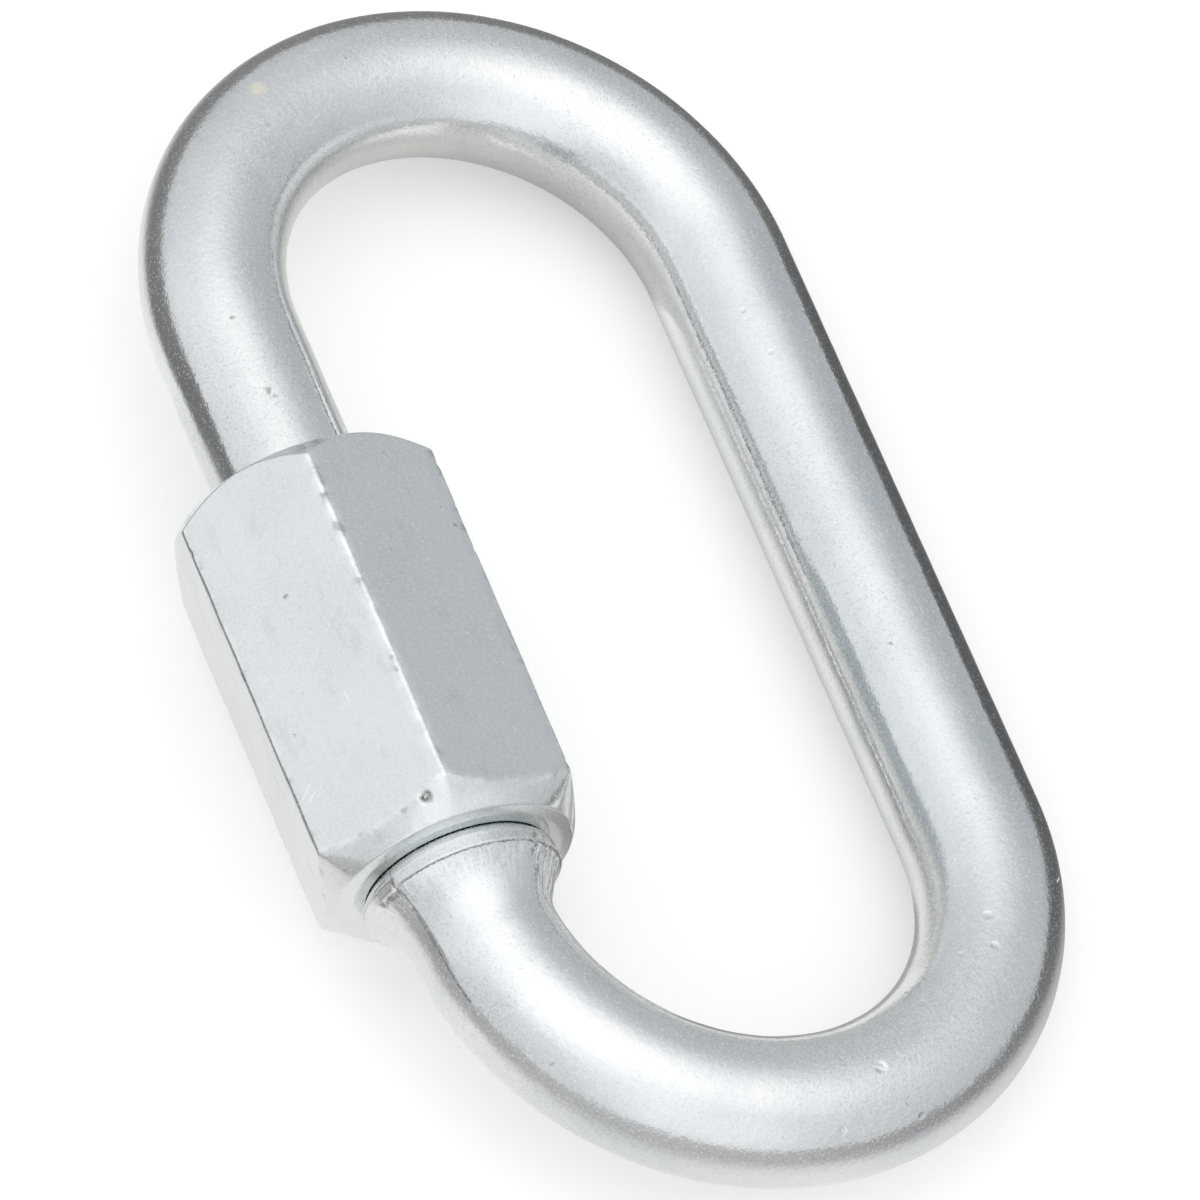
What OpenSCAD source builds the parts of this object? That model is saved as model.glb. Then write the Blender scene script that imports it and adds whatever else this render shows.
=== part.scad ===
// Quick link for chain: an oval of bent round rod, closed on one side by a hexagonal sleeve nut.
// It lies on a flat surface, on the far rod and on the lowest corner of the nut.
// +X runs along the link towards the collared leg, +Z is up, and the nut's side is -Y.
// Lengths are in millimetres.

/* [Link] */
// Diameter of the round rod
rod_d = 8; // [6:0.5:10]
// Clear width between the two straight sides
inside_w = 21.6; // [18:0.2:30]
// Length of the straight sides between the bows
straight_l = 36.8; // [36:0.2:60]

/* [Thread] */
// How far the upset stubs' thread stands out past the plain rod
upset = 1; // [0.9:0.05:1.4]
// Pitch of the thread
thread_pitch = 1.5; // [1:0.25:1.5]

/* [Gate] */
// Clear gap between the ends of the two stubs
gate_gap = 9.5; // [8.5:0.1:10]
// Length of the collared leg's stub inside the closed nut
far_grip = 5.3; // [4.8:0.1:6]
// Length of thread on the other leg's stub
near_thread_l = 7.4; // [6:0.1:8]
// Length of the taper from the plain rod up to that thread
near_taper_l = 0.9; // [0.5:0.1:1.5]
// Length of plain rod above the taper that the closed nut covers
near_cover = 0.5; // [0.2:0.1:1.5]
// Bevel on the tip of each stub
tip_bevel = 0.7; // [0.4:0.1:0.9]

/* [Collar] */
// How far the collar's edge stands out past the thread
collar_step = 0.35; // [0.25:0.05:0.8]
// Distance from the collar's edge to the start of the bow
collar_setback = 1.4; // [1:0.1:2.5]
// Length of collar left showing below the closed nut
collar_show = 1.25; // [0.8:0.05:2]
// Radius of the hollow flare from the collar down to the rod
flare_r = 5; // [3:0.5:6]
// Depth at which the flare runs out below the rod's surface
flare_sink = 0.2; // [0.15:0.05:0.3]

/* [Sleeve nut] */
// Wall from the thread's outer diameter to the flats
nut_wall = 2.1; // [1.8:0.1:4]
// Step from the flats in to the flat ring that the chamfer leaves on each end
nut_face_step = 0.5; // [0.2:0.1:0.8]
// Angle of the chamfer from the end face
nut_chamfer_deg = 46; // [30:1:55]
// How far the countersunk mouth at each end opens past the thread
mouth_step = 0.5; // [0.4:0.05:0.8]
// Half angle of the countersink
mouth_deg = 30; // [25:1:45]
// Turn of the closed nut: angle of a corner from the link's underside, towards the loop
nut_turn = 17.5; // [0:0.5:60]

/* [Clearances] */
// Radial running clearance of the thread
thread_gap = 0.05; // [0.02:0.01:0.1]
// Gap left between the closed nut's countersink and the collar, along the radius
seat_gap = 0.3; // [0.1:0.05:0.4]

/* [Hidden] */
$fn = 96;
zinc = [0.80, 0.82, 0.84];
zinc_nut = [0.75, 0.78, 0.81];

// The oval: two half-round bows joined by straight sides
rod_r = rod_d / 2;
bow_r = (inside_w + rod_d) / 2;
bow_x = straight_l / 2;

// Both threads are drawn as plain cylinders at the pitch line, which lies this share of a pitch below the crest
pitch_line_share = 0.3248;
crest_r = rod_r + upset;
bore_r = crest_r - pitch_line_share * thread_pitch;
stub_r = bore_r - thread_gap;

// Stations along the nut's axis, from the collared leg back to the other one
collar_x = bow_x - collar_setback;
nut_end_x = collar_x - collar_show;
far_tip_x = nut_end_x - far_grip;
near_tip_x = far_tip_x - gate_gap;
near_root_x = near_tip_x - near_thread_l;
near_rod_x = near_root_x - near_taper_l;
nut_start_x = near_rod_x - near_cover;
nut_l = nut_end_x - nut_start_x;

// Countersunk mouth of the nut, and the collar's seat cone that stands seat_gap inside it
mouth_r = crest_r + mouth_step;
mouth_depth = (mouth_r - bore_r) / tan(mouth_deg);
seat_r = mouth_r - seat_gap;
seat_l = (seat_r - stub_r) / tan(mouth_deg);
collar_r = crest_r + collar_step;

// The flare is a hollow arc from the collar's edge to flare_sink below the rod
flare_rise = collar_r - rod_r + flare_sink;
flare_l = sqrt(pow(flare_r, 2) - pow(flare_r - flare_rise, 2));

// Hexagon, and the wider round blank whose coned ends chamfer its corners
flat_r = crest_r + nut_wall;
corner_r = flat_r / cos(30);
face_r = flat_r - nut_face_step;
blank_r = corner_r + 1;
blank_cone_l = (blank_r - face_r) * tan(nut_chamfer_deg);
corners = [for (k = [0:5]) nut_turn + 60 * k];

// Lean at which the link lies if one given corner and the far rod touch the surface:
// the corner hangs corner_r below the nut's axis, the rod rod_r below its own, 2 * bow_r away
function drop(a) = corner_r * cos(a);
function reach(a) = 2 * bow_r - corner_r * sin(a);
function lean(a) = acos(rod_r / norm([drop(a), reach(a)])) - atan2(reach(a), drop(a));
lay_deg = max([for (a = corners) lean(a)]);

// Height of the oval's centre, and the shift that centres the lying link on the origin
lay_z = rod_r + bow_r * sin(lay_deg);
side_far = bow_r * cos(lay_deg) + rod_r;
side_near = -bow_r * cos(lay_deg) + min([for (a = corners) corner_r * sin(a - lay_deg)]);
lay_y = -(side_far + side_near) / 2;

// Lays what is drawn flat in the XY plane on the surface
module laid() {
  translate([0, lay_y, lay_z])
    rotate([-lay_deg, 0, 0])
      children();
}

// Puts a shape drawn along Z onto the nut's axis, with its base at station x
module on_nut_axis(x) {
  translate([x, -bow_r, 0])
    rotate([0, 90, 0])
      children();
}

// Half ring of rod at the +X end of the oval
module bow() {
  translate([bow_x, 0, 0])
    rotate([0, 0, -90])
      rotate_extrude(angle = 180)
        translate([bow_r, 0])
          circle(r = rod_r);
}

// Straight rod from station x0 to x1 at side y
module straight(x0, x1, y) {
  translate([x0, y, 0])
    rotate([0, 90, 0])
      cylinder(r = rod_r, h = x1 - x0);
}

// Near leg's end: plain rod, taper up to the upset thread, bevelled tip
module near_stub() {
  tip_h = near_taper_l + near_thread_l;
  on_nut_axis(near_rod_x)
    rotate_extrude()
      polygon([
        [0, 0],
        [rod_r, 0],
        [stub_r, near_taper_l],
        [stub_r, tip_h - tip_bevel],
        [stub_r - tip_bevel, tip_h],
        [0, tip_h]
      ]);
}

// Collared leg's end: bevelled tip, upset thread, seat cone, collar, hollow flare into the rod
module far_stub() {
  seat_h = far_grip - seat_l;
  edge_h = collar_x - far_tip_x;
  on_nut_axis(far_tip_x)
    rotate_extrude() {
      polygon([
        [0, 0],
        [stub_r - tip_bevel, 0],
        [stub_r, tip_bevel],
        [stub_r, seat_h],
        [seat_r, far_grip],
        [collar_r, edge_h],
        [0, edge_h]
      ]);
      difference() {
        translate([0, edge_h])
          square([collar_r, flare_l]);
        translate([rod_r - flare_sink + flare_r, edge_h + flare_l])
          circle(r = flare_r);
      }
    }
}

module link_body() {
  color(zinc)
    laid() {
      bow();
      mirror([1, 0, 0])
        bow();
      straight(-bow_x, bow_x, bow_r);
      straight(-bow_x, near_rod_x, -bow_r);
      straight(collar_x, bow_x, -bow_r);
      near_stub();
      far_stub();
    }
}

// Turned outline of the nut: a blank clear of its corners, coned down to the flat ring at both ends
module nut_turning() {
  rotate_extrude()
    polygon([
      [0, 0],
      [face_r, 0],
      [blank_r, blank_cone_l],
      [blank_r, nut_l - blank_cone_l],
      [face_r, nut_l],
      [0, nut_l]
    ]);
}

// Threaded way through the nut with its two countersunk mouths
module nut_bore() {
  past = 1;
  translate([0, 0, -past])
    cylinder(r = bore_r, h = nut_l + 2 * past);
  for (end = [0, 1])
    translate([0, 0, end * nut_l])
      mirror([0, 0, end])
        rotate_extrude()
          polygon([
            [0, -past],
            [mouth_r + past * tan(mouth_deg), -past],
            [bore_r, mouth_depth],
            [0, mouth_depth]
          ]);
}

module sleeve_nut() {
  color(zinc_nut)
    laid()
      on_nut_axis(nut_start_x)
        difference() {
          intersection() {
            rotate([0, 0, nut_turn])
              cylinder(r = corner_r, h = nut_l, $fn = 6);
            nut_turning();
          }
          nut_bore();
        }
}

link_body();
sleeve_nut();
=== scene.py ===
import math
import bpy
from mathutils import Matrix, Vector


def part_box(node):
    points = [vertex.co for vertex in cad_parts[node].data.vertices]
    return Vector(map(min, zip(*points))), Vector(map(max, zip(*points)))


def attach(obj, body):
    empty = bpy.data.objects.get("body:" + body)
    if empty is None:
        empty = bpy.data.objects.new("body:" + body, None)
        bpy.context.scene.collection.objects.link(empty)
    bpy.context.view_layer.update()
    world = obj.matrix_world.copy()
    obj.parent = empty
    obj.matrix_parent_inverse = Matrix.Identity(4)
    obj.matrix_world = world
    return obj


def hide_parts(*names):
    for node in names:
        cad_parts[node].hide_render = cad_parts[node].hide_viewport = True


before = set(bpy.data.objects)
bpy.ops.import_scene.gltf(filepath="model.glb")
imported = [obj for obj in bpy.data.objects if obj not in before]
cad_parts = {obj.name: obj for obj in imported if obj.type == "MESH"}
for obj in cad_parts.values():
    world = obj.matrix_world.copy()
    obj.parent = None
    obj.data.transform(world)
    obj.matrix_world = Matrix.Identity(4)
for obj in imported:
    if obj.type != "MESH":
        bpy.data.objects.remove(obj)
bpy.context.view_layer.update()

from types import SimpleNamespace

import bpy
import numpy as np
from mathutils import Matrix, Vector

mm = 0.001  # lengths below are in millimetres unless a line says otherwise

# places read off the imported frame, in millimetres
nutLow, nutHigh = [np.array(corner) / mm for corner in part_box("sleeve_nut")]
linkHigh = np.array(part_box("link_body")[1]) / mm
print("frame: nut and link boxes read")

# oval of rod: what the frame doesn't give is set here
linkRod = dict(
    rodRadius=4.0,
    collarShow=1.25,      # collar left showing below the closed nut
    farGrip=5.3,          # collared stub inside the nut
    gateGap=9.5,
    nearThread=7.4,
    nearTaper=0.9,
    tipBevel=0.7,
    crestRadius=4.92,     # thread on the stubs
    rootRadius=4.24,
    threadPitch=1.5,
    threadCut=0.15,       # share of a sharp thread's height that is cut off at crest and at root
    threadRunOut=0.6,     # the collared stub's thread stops this far inside the nut
    seatShow=0.45,        # seat cone left showing
    seatTop=5.42,         # collar where the cone ends
    seatBlunt=0.08,       # half length over which the cone's end is blunted, and its drop there
    seatDrop=0.05,
    collarRadius=5.47,    # collar at its lower edge
    collarLip=0.09,       # drop from that edge to the flare
    lipTurn=(-0.04, 0.07),  # distances from the edge between which it turns over
    flareRadius=5.0,
    wobble=0.007,         # unevenness of the drawn and bent surface
    wobbleSize=3.2,
    wobbleFade=2.0,       # length over which it sets in beside the taper
    threadStep=0.15,      # spacing of the rings on thread and flare
    lipStep=0.035,        # spacing of the rings at the collar's edge
    lipReach=0.35,        # those run on this far past the edge
    plainStep=0.65,       # spacing of the rings elsewhere
    ringPoints=240,
)


# link axes in the frame: the nut's axis is the middle of its box, the far rod rests on the floor
def linkPlane():
    nutAxis = (nutLow + nutHigh) / 2
    farAxis = np.array([0, linkHigh[1] - linkRod["rodRadius"], linkRod["rodRadius"]])
    across = (farAxis - nutAxis) * (0, 1, 1)
    width = np.linalg.norm(across)
    axisX = np.array([1.0, 0, 0])
    axisY = across / width
    axisZ = np.cross(axisX, axisY)
    middle = (nutAxis * (0, 1, 1) + farAxis) / 2
    return middle, np.stack([axisX, axisY, axisZ]), width / 2


middle, linkAxes, bowRadius = linkPlane()
layAngle = -math.asin(linkAxes[1][2])
halfStraight = linkHigh[0] - bowRadius - linkRod["rodRadius"]
nutStart, nutEnd = nutLow[0], nutHigh[0]
farTip = nutEnd - linkRod["farGrip"]
nearTip = farTip - linkRod["gateGap"]


# point in the frame = middle of the oval + its three coordinates along the link's own axes
def toFrame(points):
    return middle + points @ linkAxes


# smooth step from 0 at low to 1 at high
def ease(value, low, high):
    t = np.clip((value - low) / (high - low), 0, 1)
    return t * t * (3 - 2 * t)


# smooth noise, mostly between -1 and 1: a sum of sine waves whose headings, lengths and phases are drawn once
# around is an angle and girth its full length, so that a whole number of waves closes on itself
def waves(along, around, girth, size, count, seed, spread=(0.7, 1.4)):
    draw = np.random.default_rng(seed)
    heading = draw.uniform(0, np.pi, count)
    phase = draw.uniform(0, 2 * np.pi, count)
    length = size * draw.uniform(*spread, count)
    total = 0
    for turn, start, span in zip(heading, phase, length):
        ringWaves = np.round(girth / span * np.sin(turn))
        total = total + np.sin(2 * np.pi * along * np.cos(turn) / span + ringWaves * around + start)
    return total / math.sqrt(2 * count)


# an object in the scene that holds this mesh or camera
def putInScene(name, data):
    thing = bpy.data.objects.new(name, data)
    bpy.context.scene.collection.objects.link(thing)
    return thing


# mesh from a grid of points: every ring is closed, the rows run from one end to the other
# ends="loop" joins the last ring to the first, ends="caps" shuts each end with a fan onto its centre
# wrap, if given, holds the length along for each row and the girth, and is kept as a map of (around, along)
def gridMesh(name, points, ends, wrap=None):
    rows, ring = points.shape[:2]
    verts = points.reshape(-1, 3)
    index = np.arange(rows * ring).reshape(rows, ring)
    lower = index if ends == "loop" else index[:-1]
    upper = np.roll(index, -1, 0) if ends == "loop" else index[1:]
    quads = np.stack([lower, np.roll(lower, -1, 1), np.roll(upper, -1, 1), upper], -1).reshape(-1, 4)
    tris = np.zeros((0, 3), int)
    if ends == "caps":
        centres = points[[0, -1]].mean(1)
        first, last = len(verts), len(verts) + 1
        verts = np.vstack([verts, centres])
        head = np.stack([np.roll(index[0], -1), index[0], np.full(ring, first)], -1)
        tail = np.stack([index[-1], np.roll(index[-1], -1), np.full(ring, last)], -1)
        tris = np.vstack([head, tail])
    mesh = bpy.data.meshes.new(name)
    loops = np.concatenate([quads.ravel(), tris.ravel()])
    sizes = np.concatenate([np.full(len(quads), 4), np.full(len(tris), 3)])
    mesh.vertices.add(len(verts))
    mesh.loops.add(len(loops))
    mesh.polygons.add(len(sizes))
    mesh.vertices.foreach_set("co", (verts * mm).astype(np.float32).ravel())
    mesh.loops.foreach_set("vertex_index", loops.astype(np.int32))
    mesh.polygons.foreach_set("loop_start", (np.cumsum(sizes) - sizes).astype(np.int32))
    mesh.polygons.foreach_set("use_smooth", np.ones(len(sizes), bool))
    mesh.update(calc_edges=True)
    if wrap:
        along, girth = wrap
        column = np.arange(ring)
        around = np.stack([column, column + 1, column + 1, column], -1) * girth / ring
        corners = np.zeros((rows - 1, ring, 4, 2))
        corners[..., 0] = around
        corners[..., :2, 1] = along[:-1, None, None]
        corners[..., 2:, 1] = along[1:, None, None]
        caps = np.zeros((tris.size, 2))
        layer = mesh.uv_layers.new(name="wrap")
        layer.data.foreach_set("uv", np.vstack([corners.reshape(-1, 2), caps]).astype(np.float32).ravel())
    mesh.validate()
    return putInScene(name, mesh)


# one number for each point of a piece, which its material can read
def setAttribute(piece, name, values):
    layer = piece.data.attributes.new(name, "FLOAT", "POINT")
    layer.data.foreach_set("value", values.astype(np.float32).ravel())


# thread height, 0 at the root and 1 at the crest: a triangle wave of the turns, cut flat at both ends
def threadHeight(turns):
    cut = linkRod["threadCut"]
    ramp = np.abs(2 * (turns - np.floor(turns)) - 1)
    return np.clip((1 + 2 * cut) * ramp - cut, 0, 1)


# turns of a right-hand thread at station x and angle w round the +X axis = x / pitch - w / full circle
def threadTurns(x, w):
    return x / linkRod["threadPitch"] - w / (2 * np.pi)


# rod radius at distance h from the collared tip, thread apart:
# bevel, stub, seat cone and collar are straight lines, and a hollow arc leads from the collar to the rod
def collarProfile(h):
    d = linkRod
    shoulder = d["farGrip"] + d["seatShow"]
    seatLength = (d["seatTop"] - d["crestRadius"]) / math.tan(math.radians(sleeveNut["mouthDeg"]))
    edge = d["farGrip"] + d["collarShow"]
    rise = d["collarRadius"] - d["collarLip"] - d["rodRadius"]
    flareLength = math.sqrt(d["flareRadius"] ** 2 - (d["flareRadius"] - rise) ** 2)
    inFlare = np.clip(edge + flareLength - h, 0, flareLength)
    arc = d["rodRadius"] + d["flareRadius"] - np.sqrt(d["flareRadius"] ** 2 - inFlare ** 2)
    crest, blunt = d["crestRadius"], d["seatBlunt"]
    stub = np.interp(
        h,
        [0, d["tipBevel"], shoulder - seatLength, shoulder - blunt, shoulder + blunt, edge],
        [crest - d["tipBevel"], crest, crest, d["seatTop"] - d["seatDrop"], d["seatTop"], d["collarRadius"]],
    )
    lipStart, lipStop = d["lipTurn"]
    lip = ease(h, edge + lipStart, edge + lipStop)
    return stub * (1 - lip) + arc * lip


# rod radius at distance h from the other tip, thread apart: bevel, stub, taper, rod
def nearProfile(h):
    d = linkRod
    root = d["nearThread"]
    return np.interp(
        h,
        [0, d["tipBevel"], root, root + d["nearTaper"]],
        [d["crestRadius"] - d["tipBevel"], d["crestRadius"], d["crestRadius"], d["rodRadius"]],
    )


# marks that the gripping die left below the collar
dieMarks = dict(
    start=(-0.5, -0.1),   # seams and step set in between these distances from the collar's edge
    seams=(131.0, 256.0),  # degrees round the rod from the outer side, over the top
    seamDepth=0.05,
    seamWidth=0.14,
    seamLength=7.5,
    seamHold=0.35,        # share of that length at full depth
    lowFrom=-104.0,       # between these angles the jaw closed deeper and left a step
    lowTo=26.0,
    lowDepth=0.24,
    lowLength=4.6,
    lowHold=0.3,          # share of that length at full depth
    lowEdge=0.065,        # width of the step, in radians
    lowRise=0.45,         # share of that depth that is lost again towards the step
    lowRiseFrom=0.8,      # radians from the step to where that starts
    streakDepth=0.030,    # fine drag lines where the flare starts
    streakStart=(0.05, 0.25),  # distances from the collar's edge between which they set in
    streakHold=0.3,       # distance to which they keep their depth
    streakLength=1.5,
    streakCount=58,
    streakSlant=0.1,      # how fast they change along the rod
)


# change of radius at distance h from the collared tip: a groove along each seam, one sector pressed lower
# and drag lines at the start of the flare, all fading down the rod
def diePrint(h, phi):
    d = dieMarks
    edge = linkRod["farGrip"] + linkRod["collarShow"]
    below = ease(h, edge + d["start"][0], edge + d["start"][1])
    fade = below * (1 - ease(h, edge + d["seamHold"] * d["seamLength"], edge + d["seamLength"]))
    change = np.zeros(np.broadcast(h, phi).shape)
    for seam in d["seams"]:
        off = (phi - math.radians(seam) + np.pi) % (2 * np.pi) - np.pi
        change = change - d["seamDepth"] * fade * np.exp(-(off * linkRod["rodRadius"] / d["seamWidth"]) ** 2)
    half = math.radians(d["lowTo"] - d["lowFrom"]) / 2
    centre = math.radians(d["lowTo"] + d["lowFrom"]) / 2
    off = np.abs((phi - centre + np.pi) % (2 * np.pi) - np.pi)
    depth = d["lowDepth"] * (1 - d["lowRise"] * ease(off, half - d["lowRiseFrom"], half - d["lowEdge"]))
    short = below * (1 - ease(h, edge + d["lowHold"] * d["lowLength"], edge + d["lowLength"]))
    change = change - depth * short * (1 - ease(off, half - d["lowEdge"], half))
    streak = waves(h * d["streakSlant"], phi, 2 * np.pi, 2 * np.pi / d["streakCount"], count=7, seed=3)
    begun = ease(h, edge + d["streakStart"][0], edge + d["streakStart"][1])
    short = begun * (1 - ease(h, edge + d["streakHold"], edge + d["streakLength"]))
    return change + d["streakDepth"] * short * np.minimum(streak, 0)


# centre line by arc length: leg, half circle, straight, half circle, leg
# both the turn of the outward side and the slide along X are straight ramps of the arc length
def centreLine(s, knots):
    turn = np.interp(s, knots, [0, 0, np.pi, np.pi, 2 * np.pi, 2 * np.pi])
    slide = np.interp(s, knots, [nearTip, -halfStraight, -halfStraight, halfStraight, halfStraight, farTip])
    outward = np.stack([-np.sin(turn), -np.cos(turn), np.zeros_like(s)], -1)
    return outward * bowRadius + np.stack([slide, np.zeros_like(s), np.zeros_like(s)], -1), outward


# point of the rod = centre line + radius * (cosine of phi outward + sine of phi up)
def makeLinkRod():
    d = linkRod
    bow = np.pi * bowRadius
    lengths = [nearTip + halfStraight, bow, 2 * halfStraight, bow, halfStraight - farTip]
    knots = np.concatenate([[0], np.cumsum(lengths)])
    total = knots[-1]
    edge = d["farGrip"] + d["collarShow"]
    nearFine = d["nearThread"] + d["nearTaper"]
    farFine = edge + dieMarks["seamLength"]
    fromFar = np.unique(np.concatenate([
        np.arange(0, farFine, d["threadStep"]),
        np.arange(d["farGrip"], edge + d["lipReach"], d["lipStep"]),
    ]))
    s = np.concatenate([
        np.arange(0, nearFine, d["threadStep"]),
        np.arange(nearFine, total - farFine - d["threadStep"], d["plainStep"]),
        total - fromFar[::-1],
    ])
    phi = np.linspace(0, 2 * np.pi, d["ringPoints"], endpoint=False)[None]
    centre, outward = centreLine(s, knots)
    nearH, farH = s[:, None], (total - s)[:, None]
    nearHalf = nearH < total / 2
    radius = np.where(nearHalf, nearProfile(nearH), collarProfile(farH))
    plain = ease(nearH, nearFine, nearFine + d["wobbleFade"]) * ease(farH, d["farGrip"], edge)
    uneven = waves(nearH, phi, 2 * np.pi * d["rodRadius"], d["wobbleSize"], count=28, seed=11)
    radius = radius + plain * d["wobble"] * np.minimum(uneven - 1, 0) + diePrint(farH, phi)
    threaded = np.where(nearHalf, nearH < nearFine, farH < d["farGrip"] - d["threadRunOut"])
    turns = threadTurns(centre[:, 0][:, None], np.pi - phi)
    thread = d["rootRadius"] + (d["crestRadius"] - d["rootRadius"]) * threadHeight(turns)
    radius = np.where(threaded, np.minimum(radius, thread), radius)
    side = np.cos(phi)[..., None] * outward[:, None]
    top = np.sin(phi)[..., None] * np.array([0, 0, 1.0])
    points = centre[:, None] + radius[..., None] * (side + top)
    piece = gridMesh("linkRod", toFrame(points), "caps", (total - s, 2 * np.pi * d["rodRadius"]))
    print("link rod:", len(piece.data.polygons), "faces")
    return piece


# hexagonal sleeve nut
sleeveNut = dict(
    turn=17.5,            # degrees from a corner straight down to the corner nearest it
    lowRing=6.58,         # outer radius of the end face at the collar
    lowFlat=1.08,         # chamfer length there at the middle of a flat, and how much more at a corner
    lowCorner=0.62,
    lowLean=0.20,         # the chamfer sits this much off centre, most at this angle
    lowLeanFrom=105.0,
    highRing=6.98,        # the same at the other end
    highFlat=0.09,
    highCorner=1.18,
    mouthRadius=5.08,
    mouthDish=0.03,       # end face falls away from its ridge to the mouth and to the chamfer
    ringDrop=0.14,
    ridgeRadius=5.95,
    mouthDeg=38.0,
    threadGap=0.08,       # nut's thread outside the stubs' thread
    cornerRound=0.30,
    edgeRound=0.11,
    wearFrom=0.2,         # wear starts this far outside the end face
    nickDepth=0.15,       # nicks along the corners
    nickSize=1.3,
    nickReach=0.30,
    nickRange=(0.6, 1.9),  # noise levels at which a nick starts and is deepest
    burr=0.03,            # slow unevenness of the corners
    burrSize=3.25,
    burrRange=(-1.2, 1.2),
    wave=0.014,           # unevenness of the flats
    waveSize=9.0,
    cutWear=0.16,         # half widths of the worn lines on both edges of the chamfer at the collar
    ringWear=0.10,
    cornerEnd=(-0.1, 0.3),  # distances above that chamfer between which the corners' wear sets in
    flatPoints=34,
    cornerPoints=12,
    # rings on each side of the wall's section, from the mouth at the collar to the other mouth
    sectionRings=(8, 4, 4, 9, 104, 7, 4, 8),
    boreStep=0.18,
)


# rounded hexagon: straight flats joined by small arcs about the corners
def hexOutline(flatRadius):
    d = sleeveNut
    half = (flatRadius - d["cornerRound"]) * math.tan(math.pi / 6)
    along = half * np.sin(np.linspace(-math.pi / 2, math.pi / 2, d["flatPoints"]))
    swing = np.linspace(0, math.pi / 3, d["cornerPoints"] + 2)[1:-1]
    flat = np.stack([np.full_like(along, flatRadius), along], -1)
    corner = np.stack([np.cos(swing), np.sin(swing)], -1) * d["cornerRound"]
    corner = corner + (flatRadius - d["cornerRound"], half)
    side = np.vstack([flat, corner])
    turns = np.arange(6) * math.pi / 3
    c, s = np.cos(turns)[:, None], np.sin(turns)[:, None]
    return np.stack([side[:, 0] * c - side[:, 1] * s, side[:, 0] * s + side[:, 1] * c], -1).reshape(-1, 2)


# rings along a line of profile corners, each corner rounded by a parabola that starts size before it
# corners holds (station, radius) arrays over the ring; counts gives the plain rings between two corners
# most is the largest share of a side that a rounding takes
def roundedProfile(corners, counts, size, bendRings=6, most=0.35):
    rings = []
    bend = np.linspace(0, 1, bendRings)[:, None, None]
    for k, count in enumerate(counts):
        here, ahead = corners[k], corners[k + 1]
        step = ahead - here
        span = np.linalg.norm(step, axis=-1, keepdims=True)
        inset = np.minimum(size, span * most) * step / span
        t = np.linspace(0, 1, count)[:, None, None]
        rings.append(here + inset + t * (step - 2 * inset))
        if k + 2 < len(corners):
            onward = corners[k + 2] - ahead
            reach = np.linalg.norm(onward, axis=-1, keepdims=True)
            out = np.minimum(size, reach * most) * onward / reach
            start, stop = ahead - inset, ahead + out
            arc = (1 - bend) ** 2 * start + 2 * bend * (1 - bend) * ahead + bend ** 2 * stop
            rings.append(arc[1:-1])
    return np.concatenate(rings)


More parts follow.
